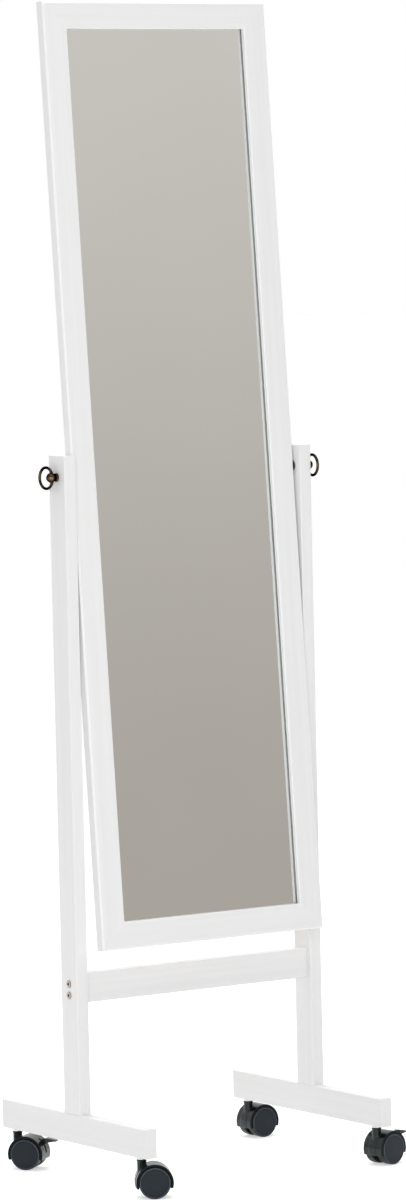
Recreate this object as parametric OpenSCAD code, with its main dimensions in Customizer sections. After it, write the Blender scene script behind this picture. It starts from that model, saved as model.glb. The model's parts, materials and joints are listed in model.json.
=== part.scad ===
// Rolling floor mirror: a framed mirror that tilts between two posts,
// on a pair of feet with four twin-wheel casters, two of them braked.
// Millimetres. X runs across the stand, -Y is the front and Z is up.
// The origin is on the floor, midway between the posts.

/* [Stand] */
// Clear width between the inner faces of the posts
post_gap = 345; // [300:1:500]
// Thickness of a post across the stand
post_t = 17; // [12:0.5:25]
// Width of a post, front to back
post_w = 36.5; // [25:1:60]
// Height of the top of the posts above the floor
post_top = 924; // [700:1:1200]
// Length of a foot, front to back
foot_l = 334; // [250:1:500]
// Height of a foot
foot_h = 37; // [25:1:60]
// Thickness of a foot across the stand
foot_t = 17; // [14:0.5:30]
// Height of the underside of the feet above the floor
foot_z = 51.5; // [50:0.5:60]
// Height of the crossbar's underside above the floor
crossbar_z = 230; // [120:0.5:250]
// Height of the crossbar's face
crossbar_h = 38; // [25:1:60]
// Thickness of the crossbar, front to back
crossbar_t = 17; // [12:0.5:36]
// Easing along the long edges of posts, feet and crossbar
edge_ease = 0.8; // [0.2:0.1:2]

/* [Mirror frame] */
// Outside width of the frame
frame_w = 340; // [280:1:480]
// Outside height of the frame
frame_h = 1200; // [900:1:1400]
// Face width of the moulding
bar_w = 34.5; // [25:0.5:60]
// Thickness of the moulding, front to back
bar_t = 15; // [12:0.5:25]
// Bevel along the outer front edge of the moulding
outer_bevel = 2; // [0.5:0.1:4]
// Bevel along the inner front edge, beside the glass
sight_bevel = 1; // [0.3:0.1:3]
// Depth of the glass behind the frame's face
glass_recess = 6; // [3:0.5:9]
// Thickness of the mirror glass
glass_t = 3; // [2:0.5:5]
// Thickness of the back panel
panel_t = 3; // [2:0.5:5]
// Width of the lip that covers the glass edge
glass_lap = 8; // [5:0.5:12]
// Width of the ledge that the back panel is screwed to
panel_lap = 6; // [4:0.5:10]
// Lean of the frame's top towards the back, in degrees
tilt = 4.3; // [0:0.1:12]

/* [Pivot knobs] */
// Height of the pivot above the floor
pivot_z = 897; // [700:1:1000]
// Radius of the clamping bolt
bolt_r = 3; // [2:0.5:5]
// Radius of the collar against the post
collar_r = 5.4; // [4:0.1:10]
// Thickness of the collar
collar_t = 2.6; // [1.5:0.1:6]
// Radius of the ball that carries the ring
ball_r = 6.3; // [4:0.1:10]
// Radius of the ring to the middle of its wire
ring_r = 13.3; // [9:0.1:20]
// Radius of the ring's wire
ring_wire_r = 1.8; // [0.8:0.1:2]
// Droop of the left ring below level as it rests, in degrees
ring_droop_left = 4; // [-10:0.5:20]
// Droop of the right ring below level as it rests, in degrees
ring_droop_right = 0; // [-10:0.5:20]
// Swing of the left ring away from the post, in degrees
ring_swing_left = 5; // [-8:1:90]
// Swing of the right ring away from the post, in degrees
ring_swing_right = -3; // [-8:1:90]
// Radius of the black spacer washers
spacer_r = 7.4; // [4:0.1:12]

/* [Casters] */
// Distance of a caster's stem from the foot's end
stem_inset = 22; // [15:0.5:40]
// Radius of a wheel
wheel_r = 20; // [19:0.1:20.2]
// Half of the width over both wheels of a caster
caster_half_w = 16; // [12:0.5:25]
// Trail of the wheel axle behind the stem
trail = 15; // [13:0.5:20]
// Outside radius of the hood over the wheels
hood_r = 23.7; // [23.4:0.1:26]
// Radius of the neck around the stem
neck_r = 5.9; // [5:0.1:7]
// Height of the neck's top above the floor
neck_top = 48.5; // [44:0.1:50]
// Radius of the steel stem
stem_r = 4; // [3:0.5:5]
// Swivel of the back left caster, in degrees
swivel_back_left = -52; // [-180:1:180]
// Swivel of the front left caster, in degrees
swivel_front_left = -29; // [-180:1:180]
// Swivel of the back right caster, in degrees
swivel_back_right = 2; // [-180:1:180]
// Swivel of the front right caster, in degrees
swivel_front_right = 11; // [-180:1:180]

/* [Hidden] */
$fn = 64;
white = [0.93, 0.93, 0.92];
bronze = [0.30, 0.25, 0.20];
black = [0.06, 0.06, 0.06];
charcoal = [0.24, 0.25, 0.27];
steel = [0.75, 0.75, 0.76];

run = 0.05;            // running clearance of a shaft in its hole
slack = 0.2;           // gap left between flat faces that slide
post_x = post_gap / 2 + post_t / 2;
post_outer = post_gap / 2 + post_t;
foot_x = post_outer - foot_t / 2;
foot_top = foot_z + foot_h;
stem_y = foot_l / 2 - stem_inset;

side_gap = (post_gap - frame_w) / 2;
glass_y = -bar_t / 2 + glass_recess;     // front of the glass
panel_y = glass_y + glass_t;             // front of the back panel
panel_back = panel_y + panel_t;
panel_w = frame_w - 2 * (bar_w - glass_lap - panel_lap) - 1;
panel_h = frame_h - 2 * (bar_w - glass_lap - panel_lap) - 1;
back_ease = 0.6;       // easing along the frame's outer back edge
insert_r = 5;
insert_l = 18;
bolt_end = 3;          // bolt's end from the bottom of its insert
panel_screw_r = 1.25;
panel_screw_l = 8;
panel_head_r = 2.6;
panel_head_t = 1.3;
panel_rows = [-520, -180, 180, 520]; // heights of the side screws from the pivot

collar_bevel = 0.6;
knob_neck_r = 3.5;
knob_neck_t = 0.6;
ball_x = collar_t + knob_neck_t + sqrt(ball_r * ball_r - knob_neck_r * knob_neck_r);
ring_x = ball_x - 1.6; // hole through the ball, just behind its middle
ring_hole_r = ring_wire_r + 1;
ring_offset = ring_r - ring_wire_r * 0.41; // ring centre from the hole's axis

crossbar_mid = crossbar_z + crossbar_h / 2;
screw_drop = 1.5;      // middle of the screws below the crossbar's middle
screw_mid = crossbar_mid - screw_drop;
cross_screw_r = 2.5;
cross_screw_l = 34;    // length of a screw inside the crossbar
screw_pitch = 14.5;
head_r = 4.9;
head_t = 1.2;
head_rim_t = 0.7;      // thickness at the edge of the stepped head
head_step = 0.5;
hex_socket_r = 2.1;
foot_screw_r = 2.2;
foot_screw_y = 9;      // foot screws in front of and behind the post's middle
foot_screw_l = 29;     // length of a screw inside the post
foot_head_r = 4;
foot_head_t = 2.6;
counterbore_t = 4;

web_half = 3.8;        // half thickness of the wall between the wheels
wheel_in = 4.4;        // inner face of a wheel from the caster's middle
wheel_ease = 1;        // easing of a wheel's inner edge
rim_ease = 0.4;        // easing of a wheel's outer edge
cover_t = 1.4;
cover_r = 19.1;
cover_bevel = 0.6;     // width of the bevel around a cover
cover_rim = 1.4;       // width of the raised rim
rim_rise = 0.3;
face_rise = 0.1;       // rise of the flat face inside the rim
axle_r = 2.5;
axle_half = 13.5;
hood_in = hood_r - 3.1;
hood_foot = 13;        // height of the hood's lower edges
neck_foot = 24;        // lower end of the neck, inside the hood
hood_side = 0.2;       // wheel covers stand proud of the hood's sides
rib_t = 0.6;           // rise of the rib below the neck
flange_r = 6.5;        // flange around the neck's top
flange_t = 1.8;
axle_z = wheel_r;
stem_foot = 37;        // lower end of the stem inside the neck
stem_top = foot_z + 18;
shoulder_r = 5.6;      // shoulder of the stem between neck and sleeve
sleeve_r = 5.5;
sleeve_l = 20;
lip_r = 6.8;           // lip of the sleeve under the foot
lip_t = 0.8;
lever_x = trail + 18;  // brake lever's pin, from the stem
lever_z = 31.6;
lever_half = 4.75;
lug_r = 2.4;
lug_t = 3;
pin_r = 1.2;
pin_l = 6.4;
slot_w = 3.6;          // slot for the brake lever's lug
slot_x = trail + 13.2;
slot_z = 21.5;

// ---- Helpers ----

// Bar up Z from the origin with its four long edges eased
module eased_bar(w, d, length, ease = edge_ease) {
    x = w / 2;
    y = d / 2;
    linear_extrude(length)
        polygon([[ease - x, -y], [x - ease, -y], [x, ease - y], [x, y - ease],
                 [x - ease, y], [ease - x, y], [-x, y - ease], [-x, ease - y]]);
}

// Cylinder from x = 0 along +X
module rod_x(r, length) {
    rotate([0, 90, 0]) cylinder(r = r, h = length);
}

// Cylinder along Y, centred on the origin
module rod_y(r, length) {
    rotate([90, 0, 0]) cylinder(r = r, h = length, center = true);
}

// One copy of the children at each caster's stem
module at_stems() {
    for (sx = [-1, 1], sy = [-1, 1]) translate([sx * foot_x, sy * stem_y, 0]) children();
}

// Frame coordinates: the pivot is the origin, and the frame leans back
module on_frame() {
    translate([0, 0, pivot_z]) rotate([-tilt, 0, 0]) children();
}

// Caster coordinates: the stem is the Z axis and the wheels trail along +X
module on_caster(sx, sy, swivel) {
    translate([sx * foot_x, sy * stem_y, 0]) rotate([0, 0, swivel]) children();
}

module on_back_left() { on_caster(-1, 1, swivel_back_left) children(); }
module on_front_left() { on_caster(-1, -1, swivel_front_left) children(); }
module on_back_right() { on_caster(1, 1, swivel_back_right) children(); }
module on_front_right() { on_caster(1, -1, swivel_front_right) children(); }

// ---- Stand ----

module post_body() {
    difference() {
        translate([0, 0, foot_top]) eased_bar(post_t, post_w, post_top - foot_top);
        translate([-post_t, 0, pivot_z]) rod_x(bolt_r + run, 2 * post_t);
        for (s = [-1, 1]) {
            translate([-post_t, 0, screw_mid + s * screw_pitch / 2])
                rod_x(cross_screw_r + run, 2 * post_t);
            translate([0, s * foot_screw_y, foot_top - 1])
                cylinder(r = foot_screw_r + run, h = foot_screw_l + 3);
        }
    }
}

module left_post() { color(white) translate([-post_x, 0, 0]) post_body(); }
module right_post() { color(white) translate([post_x, 0, 0]) post_body(); }

// Foot with sleeve holes for the stems and countersunk holes up into the post
module foot_body(post_side) {
    difference() {
        translate([0, foot_l / 2, foot_z + foot_h / 2]) rotate([90, 0, 0])
            eased_bar(foot_t, foot_h, foot_l);
        for (sy = [-1, 1]) {
            translate([0, sy * stem_y, foot_z - 1]) cylinder(r = sleeve_r, h = sleeve_l + 1);
            translate([post_side * (foot_x - post_x), sy * foot_screw_y, foot_z - 1]) {
                cylinder(r = foot_screw_r + run, h = foot_h + 2);
                cylinder(r = foot_head_r + slack, h = counterbore_t);
            }
        }
    }
}

module left_foot() { color(white) translate([-foot_x, 0, 0]) foot_body(1); }
module right_foot() { color(white) translate([foot_x, 0, 0]) foot_body(-1); }

module crossbar() {
    color(white) difference() {
        translate([-post_gap / 2, 0, crossbar_mid]) rotate([0, 90, 0])
            eased_bar(crossbar_h, crossbar_t, post_gap);
        for (sx = [0, 1], s = [-1, 1]) mirror([sx, 0, 0])
            translate([post_gap / 2 - cross_screw_l - 1, 0, screw_mid + s * screw_pitch / 2])
                rod_x(cross_screw_r + run, cross_screw_l + 2);
    }
}

// Connecting screws with hex sockets, through the posts into the crossbar's ends
module crossbar_screws() {
    color(steel) for (sx = [0, 1], s = [-1, 1]) mirror([sx, 0, 0])
        translate([post_outer, 0, screw_mid + s * screw_pitch / 2]) difference() {
            union() {
                translate([-post_t - cross_screw_l, 0, 0])
                    rod_x(cross_screw_r, post_t + cross_screw_l + head_t / 2);
                rod_x(head_r, head_rim_t);
                rod_x(head_r - head_step, head_t);
            }
            translate([-1.5 * head_t, 0, 0]) rotate([0, 90, 0])
                cylinder(r = hex_socket_r, h = 3 * head_t, $fn = 6);
        }
}

module foot_screws() {
    color(steel) for (sx = [-1, 1], sy = [-1, 1])
        translate([sx * post_x, sy * foot_screw_y, foot_z + 2 * slack]) {
            cylinder(r = foot_head_r, h = foot_head_t);
            cylinder(r = foot_screw_r, h = foot_h + foot_screw_l);
        }
}

// ---- Caster mounting ----

module stem_sleeves() {
    color(steel) at_stems() difference() {
        union() {
            translate([0, 0, foot_z]) cylinder(r = sleeve_r, h = sleeve_l);
            translate([0, 0, foot_z - lip_t]) cylinder(r = lip_r, h = lip_t);
        }
        translate([0, 0, foot_z - 2]) cylinder(r = stem_r, h = sleeve_l + 0.5);
    }
}

module caster_stems() {
    color(steel) at_stems() {
        translate([0, 0, stem_foot]) cylinder(r = stem_r, h = stem_top - stem_foot);
        translate([0, 0, neck_top + slack]) cylinder(r = shoulder_r, h = foot_z - lip_t - neck_top - slack);
    }
}

// ---- Mirror frame ----

// Moulding section: x from the outer edge inwards, y from front to back
module bar_section() {
    f = -bar_t / 2;
    b = bar_t / 2;
    step_1 = bar_w - glass_lap - panel_lap;
    step_2 = bar_w - glass_lap;
    polygon([[outer_bevel, f], [bar_w - sight_bevel, f], [bar_w, f + sight_bevel],
             [bar_w, glass_y], [step_2, glass_y], [step_2, panel_y], [step_1, panel_y],
             [step_1, b], [back_ease, b], [0, b - back_ease], [0, f + outer_bevel]]);
}

// Moulding up Z along the left edge at x = 0, mitred at both ends
module mitred_bar(length) {
    difference() {
        translate([0, 0, -length / 2]) linear_extrude(length) bar_section();
        for (s = [0, 1]) mirror([0, 0, s])
            translate([0, -bar_t, -length / 2]) rotate([0, -45, 0])
                translate([-bar_w, 0, -2 * bar_w]) cube([4 * bar_w, 2 * bar_t, 2 * bar_w]);
    }
}

module stile_body() {
    difference() {
        translate([-frame_w / 2, 0, 0]) mitred_bar(frame_h);
        translate([-frame_w / 2 - 1, 0, 0]) rod_x(insert_r, insert_l + 1);
        panel_holes();
    }
}

module rail_body() {
    difference() {
        rotate([0, 90, 0]) translate([-frame_h / 2, 0, 0]) mitred_bar(frame_w);
        panel_holes();
    }
}

// Places of the back panel's screws, in frame coordinates
module at_panel_screws() {
    edge_x = panel_w / 2 - panel_lap / 2;
    edge_z = panel_h / 2 - panel_lap / 2;
    for (sx = [-1, 1], z = panel_rows) translate([sx * edge_x, panel_back, z]) children();
    for (sz = [-1, 1]) translate([0, panel_back, sz * edge_z]) children();
}

module panel_holes() {
    at_panel_screws() rotate([90, 0, 0]) cylinder(r = panel_screw_r + run, h = panel_screw_l + 0.5);
}

module left_stile() { color(white) on_frame() stile_body(); }
module right_stile() { color(white) on_frame() mirror([1, 0, 0]) stile_body(); }
module top_rail() { color(white) on_frame() rail_body(); }
module bottom_rail() { color(white) on_frame() mirror([0, 0, 1]) rail_body(); }

module mirror_glass() {
    w = frame_w - 2 * (bar_w - glass_lap) - 1;
    h = frame_h - 2 * (bar_w - glass_lap) - 1;
    color([0.8, 0.85, 0.85]) on_frame()
        translate([-w / 2, glass_y, -h / 2]) cube([w, glass_t, h]);
}

module back_panel() {
    color([0.55, 0.43, 0.30]) on_frame() difference() {
        translate([-panel_w / 2, panel_y, -panel_h / 2]) cube([panel_w, panel_t, panel_h]);
        panel_holes();
    }
}

module panel_screws() {
    color(steel) on_frame() at_panel_screws() {
        rotate([90, 0, 0]) cylinder(r = panel_screw_r, h = panel_screw_l);
        rotate([-90, 0, 0]) difference() {
            cylinder(r = panel_head_r, h = panel_head_t);
            for (a = [0, 90]) rotate([0, 0, a]) translate([0, 0, panel_head_t])
                cube([1.25 * panel_head_r, 0.6, panel_head_t], center = true);
        }
    }
}

// ---- Pivot ----

module pivot_inserts() {
    color([0.78, 0.62, 0.30]) on_frame() for (sx = [0, 1]) mirror([sx, 0, 0])
        translate([frame_w / 2 - insert_l, 0, 0]) difference() {
            rod_x(insert_r, insert_l);
            translate([1, 0, 0]) rod_x(bolt_r + run, insert_l);
        }
}

module spacer_washers() {
    color(black) on_frame() for (sx = [0, 1]) mirror([sx, 0, 0])
        translate([frame_w / 2, 0, 0]) difference() {
            rod_x(spacer_r, side_gap - slack);
            translate([-1, 0, 0]) rod_x(bolt_r + run, side_gap + 2);
        }
}

// Knob with its bolt, out along +X from the post's outer face at x = 0
module knob_body(lean) {
    reach = post_t + side_gap + insert_l - bolt_end;
    difference() {
        union() {
            translate([-reach, 0, 0]) rod_x(bolt_r, reach + 1);
            translate([slack, 0, 0]) rod_x(collar_r, collar_t - collar_bevel - slack);
            translate([collar_t - collar_bevel, 0, 0]) rotate([0, 90, 0])
                cylinder(r1 = collar_r, r2 = collar_r - collar_bevel, h = collar_bevel);
            rod_x(knob_neck_r, ball_x);
            translate([ball_x, 0, 0]) sphere(r = ball_r);
        }
        translate([ring_x, 0, 0]) rotate([lean, 0, 0])
            cylinder(r = ring_hole_r, h = 3 * ball_r, center = true);
    }
}

// Ring hung from the ball, pointing to side = 1 back, -1 front, and swung off the post
module ring_body(side, swing, droop) {
    translate([ring_x, 0, 0]) rotate([-side * droop, 0, 0]) rotate([0, 0, -side * swing])
        translate([0, side * ring_offset, 0]) rotate([0, 90, 0])
            rotate_extrude($fn = 96) translate([ring_r, 0]) circle(r = ring_wire_r, $fn = 32);
}

module left_knob() {
    color(bronze) translate([-post_outer, 0, pivot_z]) mirror([1, 0, 0]) knob_body(-ring_droop_left);
}
module right_knob() {
    color(bronze) translate([post_outer, 0, pivot_z]) knob_body(ring_droop_right);
}
module left_ring() {
    color(bronze) translate([-post_outer, 0, pivot_z]) mirror([1, 0, 0])
        ring_body(1, ring_swing_left, ring_droop_left);
}
module right_ring() {
    color(bronze) translate([post_outer, 0, pivot_z]) ring_body(-1, ring_swing_right, ring_droop_right);
}

// ---- Casters ----

// Hood, wall between the wheels and neck as one moulding; braked ones are slotted
module hood_body(braked = false) {
    color(black) difference() {
        union() {
            intersection() {
                union() {
                    translate([trail, 0, axle_z]) rod_y(hood_r, 2 * (caster_half_w - hood_side));
                    intersection() {
                        translate([trail, 0, axle_z]) rod_y(hood_r + rib_t, 2 * neck_r);
                        translate([-hood_r, -neck_r, 0]) cube([hood_r, 2 * neck_r, 2 * hood_r]);
                    }
                }
                translate([-hood_r, -caster_half_w, hood_foot])
                    cube([4 * hood_r, 2 * caster_half_w, 2 * hood_r]);
            }
            translate([0, 0, neck_foot]) cylinder(r = neck_r, h = neck_top - neck_foot);
            translate([0, 0, neck_top - flange_t]) cylinder(r = flange_r, h = flange_t);
        }
        for (s = [-1, 1]) translate([trail, s * (web_half + 20), axle_z]) rod_y(hood_in, 40);
        translate([trail, 0, axle_z]) rod_y(axle_r, 20);
        translate([0, 0, stem_foot - 0.4]) cylinder(r = stem_r + run, h = 40);
        if (braked) {
            translate([slot_x, -slot_w / 2, slot_z]) cube([hood_r, slot_w, 2 * hood_r]);
            translate([lever_x, 0, lever_z]) rod_y(pin_r, pin_l);
        }
    }
}

module axle_body() {
    color(steel) translate([trail, 0, axle_z]) rod_y(axle_r, 2 * axle_half);
}

// Wheel on the side = -1 (near) or 1 (far), with a pocket for its cover
module wheel_body(side) {
    w = caster_half_w - wheel_in;
    color(black) translate([trail, side * wheel_in, axle_z]) rotate([-side * 90, 0, 0]) difference() {
        rotate_extrude($fn = 96)
            polygon([[axle_r + run, 0], [wheel_r - wheel_ease, 0], [wheel_r, wheel_ease],
                     [wheel_r, w - rim_ease], [wheel_r - rim_ease, w], [axle_r + run, w]]);
        translate([0, 0, w - cover_t]) cylinder(r = cover_r, h = 5, $fn = 96);
    }
}

// Domed disc that closes the wheel's outer face
module cover_body(side) {
    w = caster_half_w - wheel_in;
    color(charcoal) translate([trail, side * wheel_in, axle_z]) rotate([-side * 90, 0, 0])
        translate([0, 0, w - cover_t]) rotate_extrude($fn = 96)
            polygon([[0, 0], [cover_r, 0], [cover_r, cover_t], [cover_r - cover_bevel, cover_t + rim_rise],
                [cover_r - cover_rim, cover_t + face_rise], [0, cover_t + face_rise]]);
}

// Outline of the brake lever from the side: x from the stem, y is height
module lever_outline() {
    x = trail;
    polygon([[x + 15.9, 33.2], [x + 16.6, 36.3], [x + 18.4, 38.6], [x + 21.4, 40],
             [x + 25, 40.4], [x + 31, 39.5], [x + 39, 37.6], [x + 39, 36.4],
             [x + 33.5, 35.9], [x + 28.5, 34.9], [x + 25, 33.6], [x + 22.6, 31.8], [x + 20.3, 31.6]]);
}

// Brake lever: a paddle outside the hood and a lug on the pin inside the slot
module lever_body() {
    color(black) difference() {
        union() {
            rotate([90, 0, 0]) linear_extrude(lug_t, center = true) lever_outline();
            translate([lever_x, 0, lever_z]) rod_y(lug_r, lug_t);
            intersection() {
                rotate([90, 0, 0]) linear_extrude(2 * lever_half, center = true) lever_outline();
                translate([trail + 23.4, -2 * lever_half, lever_z]) cube(4 * lever_half);
            }
        }
        translate([lever_x, 0, lever_z]) rod_y(pin_r + run, pin_l);
    }
}

module lever_pin_body() {
    color(steel) translate([lever_x, 0, lever_z]) rod_y(pin_r, pin_l);
}

module back_left_hood() { on_back_left() hood_body(braked = true); }
module back_left_axle() { on_back_left() axle_body(); }
module back_left_wheel_a() { on_back_left() wheel_body(-1); }
module back_left_wheel_b() { on_back_left() wheel_body(1); }
module back_left_cover_a() { on_back_left() cover_body(-1); }
module back_left_cover_b() { on_back_left() cover_body(1); }
module back_left_lever() { on_back_left() lever_body(); }
module back_left_lever_pin() { on_back_left() lever_pin_body(); }

module front_left_hood() { on_front_left() hood_body(); }
module front_left_axle() { on_front_left() axle_body(); }
module front_left_wheel_a() { on_front_left() wheel_body(-1); }
module front_left_wheel_b() { on_front_left() wheel_body(1); }
module front_left_cover_a() { on_front_left() cover_body(-1); }
module front_left_cover_b() { on_front_left() cover_body(1); }

module back_right_hood() { on_back_right() hood_body(); }
module back_right_axle() { on_back_right() axle_body(); }
module back_right_wheel_a() { on_back_right() wheel_body(-1); }
module back_right_wheel_b() { on_back_right() wheel_body(1); }
module back_right_cover_a() { on_back_right() cover_body(-1); }
module back_right_cover_b() { on_back_right() cover_body(1); }

module front_right_hood() { on_front_right() hood_body(braked = true); }
module front_right_axle() { on_front_right() axle_body(); }
module front_right_wheel_a() { on_front_right() wheel_body(-1); }
module front_right_wheel_b() { on_front_right() wheel_body(1); }
module front_right_cover_a() { on_front_right() cover_body(-1); }
module front_right_cover_b() { on_front_right() cover_body(1); }
module front_right_lever() { on_front_right() lever_body(); }
module front_right_lever_pin() { on_front_right() lever_pin_body(); }

// ---- Assembly ----

left_post();
right_post();
left_foot();
right_foot();
crossbar();
crossbar_screws();
foot_screws();
stem_sleeves();
caster_stems();
left_stile();
right_stile();
top_rail();
bottom_rail();
mirror_glass();
back_panel();
panel_screws();
pivot_inserts();
spacer_washers();
left_knob();
right_knob();
left_ring();
right_ring();
back_left_hood();
back_left_axle();
back_left_wheel_a();
back_left_wheel_b();
back_left_cover_a();
back_left_cover_b();
back_left_lever();
back_left_lever_pin();
front_left_hood();
front_left_axle();
front_left_wheel_a();
front_left_wheel_b();
front_left_cover_a();
front_left_cover_b();
back_right_hood();
back_right_axle();
back_right_wheel_a();
back_right_wheel_b();
back_right_cover_a();
back_right_cover_b();
front_right_hood();
front_right_axle();
front_right_wheel_a();
front_right_wheel_b();
front_right_cover_a();
front_right_cover_b();
front_right_lever();
front_right_lever_pin();
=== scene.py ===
import bpy
import bmesh
import json
from math import atan2, cos, degrees, pi, radians, sin
from mathutils import Matrix, Vector


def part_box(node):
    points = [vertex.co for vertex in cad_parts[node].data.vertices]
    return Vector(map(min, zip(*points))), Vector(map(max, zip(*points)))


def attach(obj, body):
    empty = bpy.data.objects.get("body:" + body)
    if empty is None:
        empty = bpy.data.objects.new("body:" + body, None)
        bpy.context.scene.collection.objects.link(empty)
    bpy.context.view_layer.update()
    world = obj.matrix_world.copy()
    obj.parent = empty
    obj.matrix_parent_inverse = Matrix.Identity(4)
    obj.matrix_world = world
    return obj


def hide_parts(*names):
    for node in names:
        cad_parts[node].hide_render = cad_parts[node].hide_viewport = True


# Rolling floor mirror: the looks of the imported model. Metres, Z up, the front faces -Y.

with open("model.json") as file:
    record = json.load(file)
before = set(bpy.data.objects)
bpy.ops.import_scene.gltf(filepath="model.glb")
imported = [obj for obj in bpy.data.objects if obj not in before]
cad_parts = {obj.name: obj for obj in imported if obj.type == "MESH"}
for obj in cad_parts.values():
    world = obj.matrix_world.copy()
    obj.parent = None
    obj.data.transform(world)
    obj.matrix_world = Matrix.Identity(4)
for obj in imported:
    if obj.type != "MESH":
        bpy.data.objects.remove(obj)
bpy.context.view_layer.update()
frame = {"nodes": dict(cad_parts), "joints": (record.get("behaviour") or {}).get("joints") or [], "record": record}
nodes = frame["nodes"]
joints = {joint["name"]: joint for joint in frame["joints"]}
bodyOf = {node: body for body, held in frame["record"]["behaviour"]["bodies"].items() for node in held}
mm = 0.001
print("frame loaded:", len(nodes), "nodes")

# The mirror leans back about its pivot: toLeaning takes a place in the scene to the upright frame
pivot = Vector(joints["mirror_tilt"]["pos_m"])
railLow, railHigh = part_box("top_rail")
lean = atan2(railLow.y + railHigh.y, railLow.z + railHigh.z - 2 * pivot.z)
fromLeaning = Matrix.Translation(pivot) @ Matrix.Rotation(-lean, 4, "X")
toLeaning = fromLeaning.inverted()
print("mirror leans", round(degrees(lean), 2), "degrees")


def leaningBox(node):
    places = [toLeaning @ vertex.co for vertex in nodes[node].data.vertices]
    return [Vector([pick(place[i] for place in places) for i in range(3)]) for pick in (min, max)]


# Small tools for materials

def toLinear(hexColour):
    channels = [int(hexColour[i:i + 2], 16) / 255 for i in (1, 3, 5)]
    return [c / 12.92 if c <= 0.04045 else ((c + 0.055) / 1.055) ** 2.4 for c in channels] + [1]


def addNode(tree, kind, settings):
    # a setting is an attribute of the node, a value for one of its sockets, or a socket to link from
    node = tree.nodes.new(kind)
    for key, value in settings.items():
        if isinstance(key, str) and hasattr(node, key):
            setattr(node, key, value)
        elif isinstance(value, bpy.types.NodeSocket):
            tree.links.new(value, node.inputs[key])
        else:
            node.inputs[key].default_value = value
    return node


def startMaterial(name, surface):
    material = bpy.data.materials.new(name)
    material.use_nodes = True
    tree = material.node_tree
    shader = tree.nodes["Principled BSDF"]
    for key, value in surface.items():
        shader.inputs[key].default_value = value
    place = addNode(tree, "ShaderNodeTexCoord", {}).outputs["Object"]
    return material, tree, shader, place


def joinSurface(tree, shader, sources):
    for socket, source in sources.items():
        tree.links.new(source, shader.inputs[socket])


# Materials

def satinLacquer(name, grainCell, turn=0.0, paint="#EDEDED", thinPaint="#EBEAEA"):
    # Satin white lacquer sprayed on planed wood: an even soft sheen, a faint orange peel, and long
    # shallow grain lines that the paint hasn't quite filled. Grain is drawn twice as coarse as real,
    # so that it shows at all
    look = {"streak": 4.0, "thinFrom": 0.35, "thinTo": 0.7, "peel": 1.2 * mm, "peelDepth": 0.006 * mm,
            "grainDepth": 0.03 * mm, "shine": 0.4, "dull": 0.47}
    material, tree, shader, place = startMaterial(name, {"IOR": 1.5})
    along = addNode(tree, "ShaderNodeMapping", {
        "vector_type": "TEXTURE", "Vector": place, "Rotation": (turn, 0, 0),
        "Scale": [size * mm for size in grainCell]})
    grain = addNode(tree, "ShaderNodeTexNoise", {
        "Vector": along.outputs["Vector"], "Scale": 1.0, "Detail": 3.0})
    streaks = addNode(tree, "ShaderNodeTexNoise", {
        "Vector": along.outputs["Vector"], "Scale": 1 / look["streak"], "Detail": 1.0})
    thin = addNode(tree, "ShaderNodeMapRange", {
        "Value": streaks.outputs["Fac"], "From Min": look["thinFrom"], "From Max": look["thinTo"]})
    tone = addNode(tree, "ShaderNodeMix", {
        "data_type": "RGBA", 0: thin.outputs["Result"], 6: toLinear(paint), 7: toLinear(thinPaint)})
    sheen = addNode(tree, "ShaderNodeMapRange", {
        "Value": grain.outputs["Fac"], "To Min": look["shine"], "To Max": look["dull"]})
    peel = addNode(tree, "ShaderNodeTexNoise", {"Vector": place, "Scale": 1 / look["peel"]})
    skin = addNode(tree, "ShaderNodeBump", {
        "Height": peel.outputs["Fac"], "Distance": look["peelDepth"], "Strength": 0.5})
    relief = addNode(tree, "ShaderNodeBump", {
        "Height": grain.outputs["Fac"], "Distance": look["grainDepth"], "Strength": 0.2,
        "Normal": skin.outputs["Normal"]})
    joinSurface(tree, shader, {
        "Base Color": tone.outputs[2], "Roughness": sheen.outputs["Result"],
        "Normal": relief.outputs["Normal"]})
    return material


def silveredGlass():
    # Silvered float glass: a sharp, nearly neutral reflection with the faint green of the pane
    look = {"silver": "#E9EBEA", "deep": "#E5E8E6", "patch": 150 * mm}
    material, tree, shader, place = startMaterial("silvered float glass", {
        "Metallic": 1.0, "Roughness": 0.0})
    drift = addNode(tree, "ShaderNodeTexNoise", {
        "Vector": place, "Scale": 1 / look["patch"], "Detail": 0.0})
    tone = addNode(tree, "ShaderNodeMix", {
        "data_type": "RGBA", 0: drift.outputs["Fac"], 6: toLinear(look["silver"]),
        7: toLinear(look["deep"])})
    joinSurface(tree, shader, {"Base Color": tone.outputs[2]})
    return material


def backingPaint():
    # Grey paint that seals the silvering: flat, with a roller's fine stipple
    look = {"grey": "#7F8486", "pale": "#8B9092", "stipple": 0.8 * mm}
    material, tree, shader, place = startMaterial("mirror backing paint", {"Roughness": 0.7})
    stipple = addNode(tree, "ShaderNodeTexNoise", {
        "Vector": place, "Scale": 1 / look["stipple"], "Detail": 2.0})
    tone = addNode(tree, "ShaderNodeMix", {
        "data_type": "RGBA", 0: stipple.outputs["Fac"], 6: toLinear(look["grey"]),
        7: toLinear(look["pale"])})
    joinSurface(tree, shader, {"Base Color": tone.outputs[2]})
    return material


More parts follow.
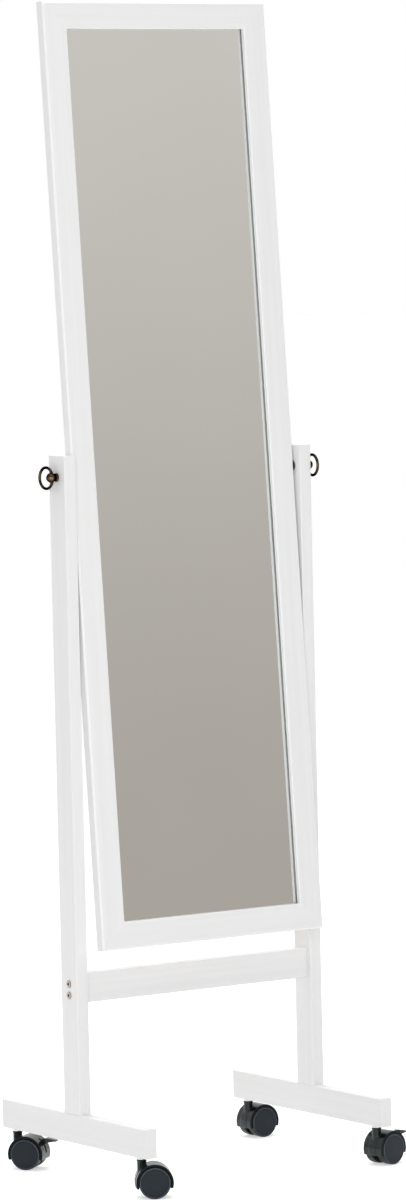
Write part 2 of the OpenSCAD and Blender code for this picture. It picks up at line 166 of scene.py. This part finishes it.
def bareHardboard():
    # Pressed hardboard: brown and matt, with hairy fibres lying every way
    look = {"fibre": "#8E7050", "darkFibre": "#735A3E", "fibreWidth": 0.7 * mm, "fibreLength": 6 * mm,
            "matFrom": 0.8, "matTo": 1.2, "relief": 0.12 * mm, "cloud": 90 * mm, "wornFrom": 0.45,
            "wornTo": 0.75, "wornShare": 0.5, "worn": "#9A7D5C"}
    material, tree, shader, place = startMaterial("bare hardboard", {"Roughness": 0.8})
    layers = []
    length, width = look["fibreLength"], look["fibreWidth"]
    for cell in ((length, 1, width), (width, 1, length)):
        laid = addNode(tree, "ShaderNodeMapping", {
            "vector_type": "TEXTURE", "Vector": place, "Scale": cell})
        fibres = addNode(tree, "ShaderNodeTexNoise", {
            "Vector": laid.outputs["Vector"], "Scale": 1.0, "Detail": 4.0})
        layers.append(fibres.outputs["Fac"])
    mat = addNode(tree, "ShaderNodeMath", {"operation": "ADD", 0: layers[0], 1: layers[1]})
    share = addNode(tree, "ShaderNodeMapRange", {
        "Value": mat.outputs[0], "From Min": look["matFrom"], "From Max": look["matTo"]})
    tone = addNode(tree, "ShaderNodeMix", {
        "data_type": "RGBA", 0: share.outputs["Result"], 6: toLinear(look["darkFibre"]),
        7: toLinear(look["fibre"])})
    cloud = addNode(tree, "ShaderNodeTexNoise", {
        "Vector": place, "Scale": 1 / look["cloud"], "Detail": 2.0})
    fade = addNode(tree, "ShaderNodeMapRange", {
        "Value": cloud.outputs["Fac"], "From Min": look["wornFrom"], "From Max": look["wornTo"],
        "To Max": look["wornShare"]})
    faded = addNode(tree, "ShaderNodeMix", {
        "data_type": "RGBA", 0: fade.outputs["Result"], 6: tone.outputs[2], 7: toLinear(look["worn"])})
    relief = addNode(tree, "ShaderNodeBump", {
        "Height": mat.outputs[0], "Distance": look["relief"], "Strength": 0.4})
    joinSurface(tree, shader, {"Base Color": faded.outputs[2], "Normal": relief.outputs["Normal"]})
    return material


def platedMetal(name, plate, cloud, cloudSize, markDepth, roughness):
    # Plate on turned metal: pale, with a slight cloudy sheen and the fine marks of the driver and of
    # handling. Zinc is bright and cool, nickel duller and warmer
    mark = 0.3 * mm  # between one handling mark and the next
    material, tree, shader, place = startMaterial(name, {"Metallic": 1.0, "Roughness": roughness})
    clouds = addNode(tree, "ShaderNodeTexNoise", {"Vector": place, "Scale": 1 / cloudSize, "Detail": 3.0})
    tone = addNode(tree, "ShaderNodeMix", {
        "data_type": "RGBA", 0: clouds.outputs["Fac"], 6: toLinear(plate), 7: toLinear(cloud)})
    marks = addNode(tree, "ShaderNodeTexNoise", {"Vector": place, "Scale": 1 / mark})
    relief = addNode(tree, "ShaderNodeBump", {
        "Height": marks.outputs["Fac"], "Distance": markDepth, "Strength": 0.3})
    joinSurface(tree, shader, {"Base Color": tone.outputs[2], "Normal": relief.outputs["Normal"]})
    return material


def turnedBrass():
    # Turned brass of the threaded inserts: yellow metal with fine tool lines round it
    look = {"brass": "#C9A75A", "dull": "#A58442", "line": 0.3 * mm, "lineLength": 6 * mm}
    material, tree, shader, place = startMaterial("turned brass", {"Metallic": 1.0, "Roughness": 0.32})
    turned = addNode(tree, "ShaderNodeMapping", {
        "vector_type": "TEXTURE", "Vector": place,
        "Scale": (look["line"], look["lineLength"], look["lineLength"])})
    lines = addNode(tree, "ShaderNodeTexNoise", {"Vector": turned.outputs["Vector"], "Scale": 1.0})
    tone = addNode(tree, "ShaderNodeMix", {
        "data_type": "RGBA", 0: lines.outputs["Fac"], 6: toLinear(look["dull"]),
        7: toLinear(look["brass"])})
    joinSurface(tree, shader, {"Base Color": tone.outputs[2]})
    return material


def antiqueBronze(name, patina, wear):
    # Antiqued bronze: a dark brown patina in the hollows, rubbed back to warm metal on the edges and
    # here and there on the rounds. Wear is the share of bare metal there
    look = {"metal": "#AE9475", "rub": 3.2 * mm, "rubFrom": 0.3, "rubTo": 0.72, "pit": 0.4 * mm,
            "pitDepth": 0.02 * mm, "edgeFrom": 0.51, "edgeTo": 0.62, "edgeWear": 0.7, "paintedRimShadeFrom": 0.38,
            "paintedGrazingShade": "#3A2E24"}
    # the dark grazing tint is painted shade at the rims
    material, tree, shader, place = startMaterial(name, {
        "Metallic": 1.0, "Roughness": 0.26, "Specular Tint": toLinear(look["paintedGrazingShade"])})
    rub = addNode(tree, "ShaderNodeTexNoise", {"Vector": place, "Scale": 1 / look["rub"], "Detail": 2.0})
    rubbed = addNode(tree, "ShaderNodeMapRange", {
        "Value": rub.outputs["Fac"], "From Min": look["rubFrom"], "From Max": look["rubTo"],
        "To Max": wear})
    edge = addNode(tree, "ShaderNodeNewGeometry", {})
    edges = addNode(tree, "ShaderNodeMapRange", {
        "Value": edge.outputs["Pointiness"], "From Min": look["edgeFrom"], "From Max": look["edgeTo"],
        "To Max": look["edgeWear"]})
    worn = addNode(tree, "ShaderNodeMath", {
        "operation": "ADD", "use_clamp": True, 0: rubbed.outputs["Result"], 1: edges.outputs["Result"]})
    # Painted highlight and shade: the bare metal shows only where the surface faces the camera, and gives way to
    # dark patina towards the outline
    highlightFacing = addNode(tree, "ShaderNodeLayerWeight", {"Blend": 0.5})
    seen = addNode(tree, "ShaderNodeMapRange", {
        "Value": highlightFacing.outputs["Facing"], "From Max": look["paintedRimShadeFrom"], "To Min": 1.0,
        "To Max": 0.0})
    wearAndPaintedHighlight = addNode(tree, "ShaderNodeMath", {
        "operation": "MULTIPLY", 0: worn.outputs[0], 1: seen.outputs["Result"]})
    tone = addNode(tree, "ShaderNodeMix", {
        "data_type": "RGBA", 0: wearAndPaintedHighlight.outputs[0], 6: toLinear(patina), 7: toLinear(look["metal"])})
    pits = addNode(tree, "ShaderNodeTexNoise", {"Vector": place, "Scale": 1 / look["pit"], "Detail": 3.0})
    relief = addNode(tree, "ShaderNodeBump", {
        "Height": pits.outputs["Fac"], "Distance": look["pitDepth"], "Strength": 0.3})
    joinSurface(tree, shader, {"Base Color": tone.outputs[2], "Normal": relief.outputs["Normal"]})
    return material


def mouldedNylon(name, shineLevel):
    # Injection moulded black nylon of the hoods: a soft gloss that drifts a little along the flow. The
    # flat sides of the mould are eroded, so they come out matt
    look = {"black": "#080A0B", "bloom": "#0D1011", "flow": 9 * mm, "skin": 0.6 * mm,
            "skinDepth": 0.008 * mm, "shine": 0.2, "dull": 0.28}
    # The cool tint of its reflections is painted: it stands in for a cool cast in the light
    material, tree, shader, place = startMaterial(name, {
        "IOR": 1.53, "Specular IOR Level": shineLevel, "Specular Tint": toLinear("#E6F8FA")})
    flow = addNode(tree, "ShaderNodeTexNoise", {"Vector": place, "Scale": 1 / look["flow"], "Detail": 1.0})
    tone = addNode(tree, "ShaderNodeMix", {
        "data_type": "RGBA", 0: flow.outputs["Fac"], 6: toLinear(look["black"]),
        7: toLinear(look["bloom"])})
    sheen = addNode(tree, "ShaderNodeMapRange", {
        "Value": flow.outputs["Fac"], "To Min": look["shine"], "To Max": look["dull"]})
    skin = addNode(tree, "ShaderNodeTexNoise", {"Vector": place, "Scale": 1 / look["skin"]})
    relief = addNode(tree, "ShaderNodeBump", {
        "Height": skin.outputs["Fac"], "Distance": look["skinDepth"], "Strength": 0.3})
    joinSurface(tree, shader, {
        "Base Color": tone.outputs[2], "Roughness": sheen.outputs["Result"],
        "Normal": relief.outputs["Normal"]})
    return material


def hardTread():
    # Hard nylon treads: blacker and duller than the hoods, finely scuffed by the floor
    look = {"black": "#060707", "scuff": "#161718", "scuffFrom": 0.54, "scuffTo": 0.78,
            "scuffShare": 0.6, "scuffSize": 1.2 * mm, "scuffDepth": 0.02 * mm}
    material, tree, shader, place = startMaterial("hard nylon tread", {
        "Roughness": 0.38, "IOR": 1.5, "Specular IOR Level": 0.35})
    scuffs = addNode(tree, "ShaderNodeTexNoise", {
        "Vector": place, "Scale": 1 / look["scuffSize"], "Detail": 5.0})
    share = addNode(tree, "ShaderNodeMapRange", {
        "Value": scuffs.outputs["Fac"], "From Min": look["scuffFrom"], "From Max": look["scuffTo"],
        "To Max": look["scuffShare"]})
    tone = addNode(tree, "ShaderNodeMix", {
        "data_type": "RGBA", 0: share.outputs["Result"], 6: toLinear(look["black"]),
        7: toLinear(look["scuff"])})
    relief = addNode(tree, "ShaderNodeBump", {
        "Height": scuffs.outputs["Fac"], "Distance": look["scuffDepth"], "Strength": 0.3})
    joinSurface(tree, shader, {"Base Color": tone.outputs[2], "Normal": relief.outputs["Normal"]})
    return material


def satinAbs(name, charcoal, light, roughness, shineLevel):
    # Charcoal ABS of the wheel discs, from a spark eroded mould: an even fine grit and a low sheen. The rim is
    # polished to a higher gloss, and its paler colour is a painted highlight
    look = {"grit": 0.45 * mm, "gritDepth": 0.02 * mm}
    # The cool tint of its reflections is painted: it stands in for a cool cast in the light
    material, tree, shader, place = startMaterial(name, {
        "Roughness": roughness, "IOR": 1.45, "Specular IOR Level": shineLevel,
        "Specular Tint": toLinear("#E9F4FF")})
    grit = addNode(tree, "ShaderNodeTexNoise", {"Vector": place, "Scale": 1 / look["grit"], "Detail": 3.0})
    tone = addNode(tree, "ShaderNodeMix", {
        "data_type": "RGBA", 0: grit.outputs["Fac"], 6: toLinear(charcoal), 7: toLinear(light)})
    relief = addNode(tree, "ShaderNodeBump", {
        "Height": grit.outputs["Fac"], "Distance": look["gritDepth"], "Strength": 0.3})
    joinSurface(tree, shader, {"Base Color": tone.outputs[2], "Normal": relief.outputs["Normal"]})
    return material


def blackRubber():
    # Black rubber of the spacer washers: matt, with a grey bloom
    look = {"rubber": "#0B0B0B", "bloom": "#1B1B1A", "grain": 0.6 * mm, "grainDepth": 0.03 * mm}
    material, tree, shader, place = startMaterial("black rubber", {"Roughness": 0.75})
    grain = addNode(tree, "ShaderNodeTexNoise", {
        "Vector": place, "Scale": 1 / look["grain"], "Detail": 3.0})
    tone = addNode(tree, "ShaderNodeMix", {
        "data_type": "RGBA", 0: grain.outputs["Fac"], 6: toLinear(look["rubber"]),
        7: toLinear(look["bloom"])})
    relief = addNode(tree, "ShaderNodeBump", {
        "Height": grain.outputs["Fac"], "Distance": look["grainDepth"], "Strength": 0.4})
    joinSurface(tree, shader, {"Base Color": tone.outputs[2], "Normal": relief.outputs["Normal"]})
    return material


thick, long = 1.6, 90  # mm, width and length of a grain line
postLacquer = satinLacquer("satin white lacquer, upright grain", (thick, thick, long))
footLacquer = satinLacquer("satin white lacquer, grain front to back", (thick, long, thick))
crossLacquer = satinLacquer("satin white lacquer, level grain", (long, thick, thick))
stileLacquer = satinLacquer("satin white lacquer, leaning grain", (thick, thick, long), turn=-lean)
# the eased edges get a whiter lacquer: a painted highlight for the light they catch
edgeHighlightLacquer = satinLacquer("satin white lacquer, painted edge highlight", (thick, thick, thick),
                           paint="#F4F4F4", thinPaint="#F2F2F2")
silver, backing, board = silveredGlass(), backingPaint(), bareHardboard()
zinc = platedMetal("zinc plated steel", "#DADDE0", "#BFC3C8", 2.5 * mm, 0.008 * mm, 0.24)
nickel = platedMetal("dull nickel plate", "#C2BAB3", "#968D85", 1.5 * mm, 0.01 * mm, 0.36)
brass = turnedBrass()
knobBronze = antiqueBronze("antiqued bronze, handled", "#1F1812", 0.5)
ringBronze = antiqueBronze("antiqued bronze, dark", "#15110D", 0.3)
hoodNylon = mouldedNylon("moulded black nylon", 0.4)
hoodSideNylon = mouldedNylon("matt black nylon", 0.12)
discAbs = satinAbs("satin charcoal ABS", "#12171D", "#181E25", 0.42, 0.35)
# the polished rim: glossier, and paler as a painted highlight
rimHighlightAbs = satinAbs("glossy charcoal ABS, painted rim highlight", "#383F47", "#40474F", 0.25, 0.8)
treadNylon, rubber = hardTread(), blackRubber()
print("materials made")


# CAD parts that keep their shape: their finish, and how far their edges are eased, in mm

def setMaterials(obj, *materials):
    obj.data.materials.clear()
    for material in materials:
        obj.data.materials.append(material)


easing = {"weld": 0.002, "segments": 2, "corner": 35}  # mm, steps, and degrees that make an edge


def easeEdges(obj, width):
    weld = obj.modifiers.new("weld", "WELD")
    weld.merge_threshold = easing["weld"] * mm
    bevel = obj.modifiers.new("eased edges", "BEVEL")
    bevel.width = width
    bevel.segments = easing["segments"]
    bevel.limit_method = "ANGLE"
    bevel.angle_limit = radians(easing["corner"])
    bevel.harden_normals = True
    bevel.material = len(obj.data.materials) - 1  # the last slot: wood has the whiter lacquer of the painted edge highlight there


finishes = {
    "left_post": (postLacquer, 0.5), "right_post": (postLacquer, 0.5),
    "left_foot": (footLacquer, 0.5), "right_foot": (footLacquer, 0.5), "crossbar": (crossLacquer, 0.4),
    "back_panel": (board, 0), "crossbar_screws": (nickel, 0.15), "foot_screws": (zinc, 0.15),
    "stem_sleeves": (zinc, 0.2), "caster_stems": (zinc, 0.3), "panel_screws": (zinc, 0.12),
    "pivot_inserts": (brass, 0.2), "spacer_washers": (rubber, 0.5),
    "left_knob": (knobBronze, 0.35), "right_knob": (knobBronze, 0.35),
    "left_ring": (ringBronze, 0), "right_ring": (ringBronze, 0)}
for node, (material, width) in finishes.items():
    setMaterials(nodes[node], material)
    if material in (postLacquer, footLacquer, crossLacquer):
        nodes[node].data.materials.append(edgeHighlightLacquer)
    if width:  # the others keep their edges as they are
        easeEdges(nodes[node], width * mm)
print("CAD parts finished:", len(finishes))


# Small tools for new pieces

def addPiece(name, mesh, body, slot, replaced, *materials):
    piece = bpy.data.objects.new(name, mesh)
    bpy.context.scene.collection.objects.link(piece)
    for material in materials:
        mesh.materials.append(material)
    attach(piece, body)
    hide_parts(replaced)
    return piece


def finishMesh(name, bm, sharpAngle=32):
    bmesh.ops.recalc_face_normals(bm, faces=bm.faces)
    mesh = bpy.data.meshes.new(name)
    bm.to_mesh(mesh)
    bm.free()
    mesh.shade_smooth()
    mesh.set_sharp_from_angle(angle=radians(sharpAngle))
    return mesh


def evenShading(piece):
    # flat faces stay flat beside their rounded edges
    weighted = piece.modifiers.new("even shading", "WEIGHTED_NORMAL")
    weighted.keep_sharp = True


def filleted(corners, steps=4):
    # corners are (x, y, fillet) in mm; a fillet of 0 keeps the corner sharp
    outline = []
    for i, (x, y, fillet) in enumerate(corners):
        here = Vector((x, y)) * mm
        if not fillet:
            outline.append(here)
            continue
        before = (Vector(corners[i - 1][:2]) * mm - here).normalized()
        after = (Vector(corners[(i + 1) % len(corners)][:2]) * mm - here).normalized()
        start, end = here + before * fillet * mm, here + after * fillet * mm
        for k in range(steps + 1):
            t = k / steps
            outline.append(start * (1 - t) ** 2 + here * 2 * t * (1 - t) + end * t ** 2)
    return outline


def lathe(name, outline, place, axis, segments=96, closed=True):
    # outline is (radius, height along axis), turned about the axis through place
    onAxis = 1e-7  # m, a radius below this is one point
    bm = bmesh.new()
    rings = []
    for r, h in outline:
        count = segments if r > onAxis else 1
        rings.append([bm.verts.new((r * cos(2 * pi * k / count), r * sin(2 * pi * k / count), h))
                      for k in range(count)])
    pairs = list(zip(rings, rings[1:]))
    if closed:
        pairs.append((rings[-1], rings[0]))
    for a, b in pairs:
        for k in range(segments):
            m = k + 1
            corners = [a[k % len(a)], a[m % len(a)], b[m % len(b)], b[k % len(b)]]
            corners = [v for i, v in enumerate(corners) if v not in corners[:i]]
            bm.faces.new(corners)
    bm.transform(Matrix.Translation(place) @ Vector(axis).to_track_quat("Z", "Y").to_matrix().to_4x4())
    return finishMesh(name, bm)


# The frame's moulding: one mitred length for each side, its long edges softly rounded by the paint

moulding = {"face": 34.5, "thickness": 15, "outerBevel": 2, "sightBevel": 1, "recess": 6, "glass": 3,
            "glassLap": 8, "panelLap": 6, "round": 0.45, "sightRound": 0.3, "backRound": 0.8}  # mm
slope = {"least": 0.1, "most": 0.97}  # 1 faces straight out: bevels and roundings lie between these


def mouldingOutline():
    m = moulding
    front, back = -m["thickness"] / 2, m["thickness"] / 2
    glassFront = front + m["recess"]
    panelFront = glassFront + m["glass"]
    glassEdge, panelEdge = m["face"] - m["glassLap"], m["face"] - m["glassLap"] - m["panelLap"]
    return filleted([
        (0, front + m["outerBevel"], m["round"]), (m["outerBevel"], front, m["round"]),
        (m["face"] - m["sightBevel"], front, m["round"]), (m["face"], front + m["sightBevel"], m["round"]),
        (m["face"], glassFront, m["sightRound"]), (glassEdge, glassFront, 0), (glassEdge, panelFront, 0),
        (panelEdge, panelFront, 0), (panelEdge, back, m["sightRound"]), (0, back, m["backRound"])])


def mouldingMesh(name, outward, along, half, halfLength):
    # outward points from the middle of the glass to this side, along runs with it. The bevels and roundings take
    # the second material, the whiter lacquer of a painted edge highlight
    bm = bmesh.new()
    ends = []
    for way in (-1, 1):
        ends.append([bm.verts.new(outward * (half - x) + along * way * (halfLength - x) + Vector((0, y, 0)))
                     for x, y in mouldingOutline()])
    count = len(ends[0])
    for k in range(count):
        m = (k + 1) % count
        bm.faces.new([ends[0][k], ends[0][m], ends[1][m], ends[1][k]])
    for end in ends:
        bm.faces.new(end)
    bmesh.ops.recalc_face_normals(bm, faces=bm.faces)
    for face in bm.faces:
        square = max(abs(face.normal.y), abs(face.normal.dot(outward)))
        mitre = abs(face.normal.dot(along)) > slope["least"]
        face.material_index = 1 if slope["least"] < square < slope["most"] and not mitre else 0
    bm.transform(fromLeaning)
    return finishMesh(name, bm, sharpAngle=50)


stileLow, stileHigh = leaningBox("left_stile")
halfWidth, halfHeight = -stileLow.x, stileHigh.z
across, up = Vector((1, 0, 0)), Vector((0, 0, 1))
for side, outward, along, half, halfLength, lacquer in (
        ("left_stile", -across, up, halfWidth, halfHeight, stileLacquer),
        ("right_stile", across, up, halfWidth, halfHeight, stileLacquer),
        ("top_rail", up, across, halfHeight, halfWidth, crossLacquer),
        ("bottom_rail", -up, across, halfHeight, halfWidth, crossLacquer)):
    mesh = mouldingMesh(side, outward, along, half, halfLength)
    evenShading(addPiece(side + "_moulding", mesh, bodyOf[side], "white_paint", side, lacquer, edgeHighlightLacquer))
print("frame mouldings mitred")


# The mirror: its silvering is seen through 3 mm of glass, which looks 2 mm deep. So the lip shows
# a dark gap before its own reflection begins

pane = {"depthSeen": 2.0, "arris": 0.3, "backFacing": 0.5}  # mm, and how squarely a painted face looks back


def silveredPane():
    low, high = leaningBox("mirror_glass")
    low.y += pane["depthSeen"] * mm
    bm = bmesh.new()
    bmesh.ops.create_cube(bm, size=1)
    middle, size = (low + high) / 2, high - low
    bm.transform(Matrix.Translation(middle) @ Matrix.Diagonal((*size, 1)))
    bmesh.ops.bevel(bm, geom=bm.edges[:], offset=pane["arris"] * mm, segments=2, affect="EDGES",
                    profile=0.5)
    for face in bm.faces:
        face.material_index = 1 if face.normal.y > pane["backFacing"] else 0
    bm.transform(fromLeaning)
    return finishMesh("silvered pane", bm)


evenShading(addPiece("silvered_pane", silveredPane(), bodyOf["mirror_glass"], "mirror_glass",
                     "mirror_glass", silver, backing))
print("mirror pane set")


# The casters: moulded hoods and brake pedals, turned tyres and domed discs

hood = {"voxel": 0.45, "rounds": 7, "flatSide": 0.9}  # mm, smoothing, how squarely a matt side faces out
pedal = {"voxel": 0.25, "rounds": 3}
wheel = {"radius": 20, "inner": 4.4, "width": 11.6, "bore": 2.55, "innerShoulder": 1.6,
         "outerShoulder": 0.45, "pocket": 19.1, "pocketDepth": 1.4, "pocketRound": 0.2}  # mm
disc = {"gap": 0.05, "rim": 1.3, "groove": 0.35, "grooveDepth": 0.35, "grooveRound": 0.15, "rimRise": 0.5,
        "rimSlope": 0.2, "rimRound": 0.2, "edgeRound": 0.8, "lift": 0.05, "crown": 0.45, "rings": 12,
        "glossAndHighlightFrom": 0.1}  # mm, and from this far past the groove and the tyre's face the rim is glossier, with a paler painted highlight


def mouldedCopy(node, look):
    # the CAD part as it leaves a mould: its edges and inside corners flow into each other
    source = bpy.data.objects.new(node + "_source", nodes[node].data.copy())
    bpy.context.scene.collection.objects.link(source)
    remesh = source.modifiers.new("remesh", "REMESH")
    remesh.mode = "VOXEL"
    remesh.voxel_size = look["voxel"] * mm
    smooth = source.modifiers.new("smooth", "SMOOTH")
    smooth.factor = 0.5
    smooth.iterations = look["rounds"]
    mesh = bpy.data.meshes.new_from_object(source.evaluated_get(bpy.context.evaluated_depsgraph_get()))
    bpy.data.objects.remove(source)
    mesh.materials.clear()
    mesh.shade_smooth()
    return mesh


def tyreMesh(place, axle):
    w = wheel
    outline = filleted([
        (w["bore"], 0, 0), (w["radius"], 0, w["innerShoulder"]),
        (w["radius"], w["width"], w["outerShoulder"]), (w["pocket"], w["width"], w["pocketRound"]),
        (w["pocket"], w["width"] - w["pocketDepth"], 0), (w["bore"], w["width"] - w["pocketDepth"], 0)])
    return lathe("tyre", outline, place, axle)


def discMesh(place, axle):
    d, face = disc, wheel["width"]
    edge = wheel["pocket"] - d["gap"]
    groove = edge - d["rim"]
    crownEdge = groove - 2 * d["groove"]
    crown = [Vector((t * crownEdge, face + d["lift"] + d["crown"] * (1 - t * t))) * mm
             for t in (k / d["rings"] for k in range(d["rings"]))]
    rim = filleted([
        (crownEdge, face + d["lift"], 0), (groove - d["groove"], face - d["grooveDepth"], d["grooveRound"]),
        (groove, face - d["grooveDepth"], d["grooveRound"]),
        (groove + d["rimSlope"], face + d["rimRise"], d["rimRound"]),
        (edge, face + d["rimRise"], d["edgeRound"]), (edge, face - wheel["pocketDepth"], 0)])
    outline = crown + rim + [Vector((0, face - wheel["pocketDepth"])) * mm]
    mesh = lathe("disc", outline, place, axle, closed=False)
    # the rim past these takes the glossier material, whose paler colour is a painted highlight
    for polygon in mesh.polygons:
        height = (polygon.center - place).dot(axle)
        radius = (polygon.center - place - axle * height).length
        if radius > (groove + d["glossAndHighlightFrom"]) * mm and height > (face + d["glossAndHighlightFrom"]) * mm:
            polygon.material_index = 1
    return mesh


for caster in ("back_left", "front_left", "back_right", "front_right"):
    fork = caster + "_hood"
    shell = mouldedCopy(fork, hood)
    axle = Vector(joints[caster + "_roll_b"]["axis"])
    for polygon in shell.polygons:
        polygon.material_index = 1 if abs(polygon.normal.dot(axle)) > hood["flatSide"] else 0
    addPiece(caster + "_hood_shell", shell, bodyOf[fork], "hood_nylon", fork, hoodNylon, hoodSideNylon)
    setMaterials(nodes[caster + "_axle"], zinc)
    for letter, way in (("a", -1), ("b", 1)):
        roll = joints[caster + "_roll_" + letter]
        outwards = Vector(roll["axis"]) * way
        place = Vector(roll["pos_m"]) + outwards * wheel["inner"] * mm
        wheelNode = caster + "_wheel_" + letter
        body = bodyOf[wheelNode]
        evenShading(addPiece(caster + "_tyre_" + letter, tyreMesh(place, outwards), body, "wheel",
                             wheelNode, treadNylon))
        evenShading(addPiece(caster + "_disc_" + letter, discMesh(place, outwards), body, "wheel_cover",
                             caster + "_cover_" + letter, discAbs, rimHighlightAbs))
    lever = caster + "_lever"
    if lever in nodes:
        addPiece(caster + "_brake_pedal", mouldedCopy(lever, pedal), bodyOf[lever], "hood_nylon", lever,
                 hoodNylon)
        setMaterials(nodes[lever + "_pin"], zinc)
print("casters dressed")


# Studio: pale floor, white surroundings, and a darker front for the mirror to look at. Edges and rises
# are parts of a direction of length 1

stage = {"floor": "#E2E2E2", "floorHalf": 60.0, "floorGlow": 0.48, "ambientLow": 0.2, "ambientHigh": 0.5,
         "backdrop": 1.1, "backdropRise": 0.6, "back": "#FFFFFF", "frontLeft": "#5C5D5E",
         "frontLow": "#BAB3AC", "frontHigh": "#DCD7D2", "frontRise": 0.19, "frontEdge": -0.6,
         "backEdge": -0.1, "leftEdge": -0.25, "rightEdge": 0.25}


def makeFloor():
    mesh = bpy.data.meshes.new("floor")
    h = stage["floorHalf"]
    mesh.from_pydata([(-h, -h, 0), (h, -h, 0), (h, h, 0), (-h, h, 0)], [], [(0, 1, 2, 3)])
    floor = bpy.data.objects.new("floor", mesh)
    bpy.context.scene.collection.objects.link(floor)
    # Matt pale sheet. It glows a little where it is seen, so it stays white round the soft shadow
    material, tree, shader, _ = startMaterial("studio floor", {
        "Roughness": 0.9, "Base Color": toLinear(stage["floor"]), "Emission Color": (1, 1, 1, 1)})
    path = addNode(tree, "ShaderNodeLightPath", {})
    mirrored = addNode(tree, "ShaderNodeMath", {
        "operation": "MAXIMUM", 0: path.outputs["Is Glossy Ray"], 1: path.outputs["Is Transmission Ray"]})
    seen = addNode(tree, "ShaderNodeMath", {
        "operation": "MAXIMUM", 0: path.outputs["Is Camera Ray"], 1: mirrored.outputs[0]})
    glow = addNode(tree, "ShaderNodeMath", {
        "operation": "MULTIPLY", 0: seen.outputs[0], 1: stage["floorGlow"]})
    joinSurface(tree, shader, {"Emission Strength": glow.outputs[0]})
    setMaterials(floor, material)


def makeWorld():
    world = bpy.data.worlds.new("studio")
    bpy.context.scene.world = world
    world.use_nodes = True
    tree = world.node_tree
    tree.nodes.clear()
    path = addNode(tree, "ShaderNodeLightPath", {})
    coords = addNode(tree, "ShaderNodeTexCoord", {})
    way = addNode(tree, "ShaderNodeSeparateXYZ", {"Vector": coords.outputs["Generated"]})
    low, high, rear = stage["ambientLow"], stage["ambientHigh"], stage["backdrop"]
    ambient = addNode(tree, "ShaderNodeMix", {
        "data_type": "RGBA", 0: way.outputs["Z"], 6: (low, low, low, 1), 7: (high, high, high, 1)})
    rearward = addNode(tree, "ShaderNodeMapRange", {
        "Value": way.outputs["Y"], "From Max": stage["backdropRise"]})
    lit = addNode(tree, "ShaderNodeMix", {
        "data_type": "RGBA", 0: rearward.outputs["Result"], 6: ambient.outputs[2],
        7: (rear, rear, rear, 1)})
    rise = addNode(tree, "ShaderNodeMapRange", {
        "interpolation_type": "SMOOTHSTEP", "Value": way.outputs["Z"], "From Max": stage["frontRise"]})
    front = addNode(tree, "ShaderNodeMix", {
        "data_type": "RGBA", 0: rise.outputs["Result"], 6: toLinear(stage["frontLow"]),
        7: toLinear(stage["frontHigh"])})
    rightward = addNode(tree, "ShaderNodeMapRange", {
        "interpolation_type": "SMOOTHSTEP", "Value": way.outputs["X"], "From Min": stage["leftEdge"],
        "From Max": stage["rightEdge"]})
    ahead = addNode(tree, "ShaderNodeMix", {
        "data_type": "RGBA", 0: rightward.outputs["Result"], 6: toLinear(stage["frontLeft"]),
        7: front.outputs[2]})
    behind = addNode(tree, "ShaderNodeMapRange", {
        "interpolation_type": "SMOOTHSTEP", "Value": way.outputs["Y"], "From Min": stage["frontEdge"],
        "From Max": stage["backEdge"]})
    around = addNode(tree, "ShaderNodeMix", {
        "data_type": "RGBA", 0: behind.outputs["Result"], 6: ahead.outputs[2], 7: toLinear(stage["back"])})
    mirrored = addNode(tree, "ShaderNodeMath", {
        "operation": "MAXIMUM", 0: path.outputs["Is Glossy Ray"], 1: path.outputs["Is Transmission Ray"]})
    indirect = addNode(tree, "ShaderNodeMix", {
        "data_type": "RGBA", 0: mirrored.outputs[0], 6: lit.outputs[2], 7: around.outputs[2]})
    colour = addNode(tree, "ShaderNodeMix", {
        "data_type": "RGBA", 0: path.outputs["Is Camera Ray"], 6: indirect.outputs[2], 7: (1, 1, 1, 1)})
    light = addNode(tree, "ShaderNodeBackground", {"Color": colour.outputs[2], "Strength": 1.0})
    addNode(tree, "ShaderNodeOutputWorld", {"Surface": light.outputs[0]})


aim = (0, 0, 0.8)  # every softbox points here
lamps = {"key softbox": {"place": (-2.3, -2.8, 1.3), "size": (1.6, 2.4), "watts": 30},
         "front softbox": {"place": (-0.6, -3.6, 1.3), "size": (1.6, 2.4), "watts": 24.5},
         "top softbox": {"place": (0.2, -0.4, 4.6), "size": (3.0, 3.0), "watts": 70},
         "rear top softbox": {"place": (0.2, 1.4, 4.6), "size": (3.0, 3.0), "watts": 75}}


def softbox(name, look):
    data = bpy.data.lights.new(name, "AREA")
    data.shape = "RECTANGLE"
    data.size, data.size_y = look["size"]
    data.energy = look["watts"]
    lamp = bpy.data.objects.new(name, data)
    bpy.context.scene.collection.objects.link(lamp)
    lamp.location = look["place"]
    lamp.rotation_euler = (Vector(aim) - Vector(look["place"])).to_track_quat("-Z", "Y").to_euler()


# the camera is fitted to the corners of the frame, posts and feet: degrees, metres and pixels
camera = {"azimuth": -34.09, "elevation": -3.812, "roll": -1.287, "place": (-3.8914, -5.7919, 1.1962),
          "pixelFocal": 5462.7, "pictureHeight": 1200, "sensor": 36.0, "farthest": 200}


def makeCamera():
    azimuth, elevation, roll = (radians(camera[key]) for key in ("azimuth", "elevation", "roll"))
    forward = Vector((-sin(azimuth) * cos(elevation), cos(azimuth) * cos(elevation), sin(elevation)))
    level = Vector((cos(azimuth), sin(azimuth), 0))
    above = level.cross(forward)
    right = cos(roll) * level + sin(roll) * above
    data = bpy.data.cameras.new("camera")
    data.sensor_width = camera["sensor"]
    data.lens = camera["pixelFocal"] / camera["pictureHeight"] * camera["sensor"]
    data.clip_end = camera["farthest"]
    eye = bpy.data.objects.new("camera", data)
    bpy.context.scene.collection.objects.link(eye)
    turn = Matrix((right, right.cross(forward), -forward)).transposed()
    eye.matrix_world = Matrix.Translation(camera["place"]) @ turn.to_4x4()
    bpy.context.scene.camera = eye


makeFloor()
makeWorld()
for name, look in lamps.items():
    softbox(name, look)
makeCamera()
bpy.context.scene.view_settings.view_transform = "Standard"
print("stage, light and camera set")
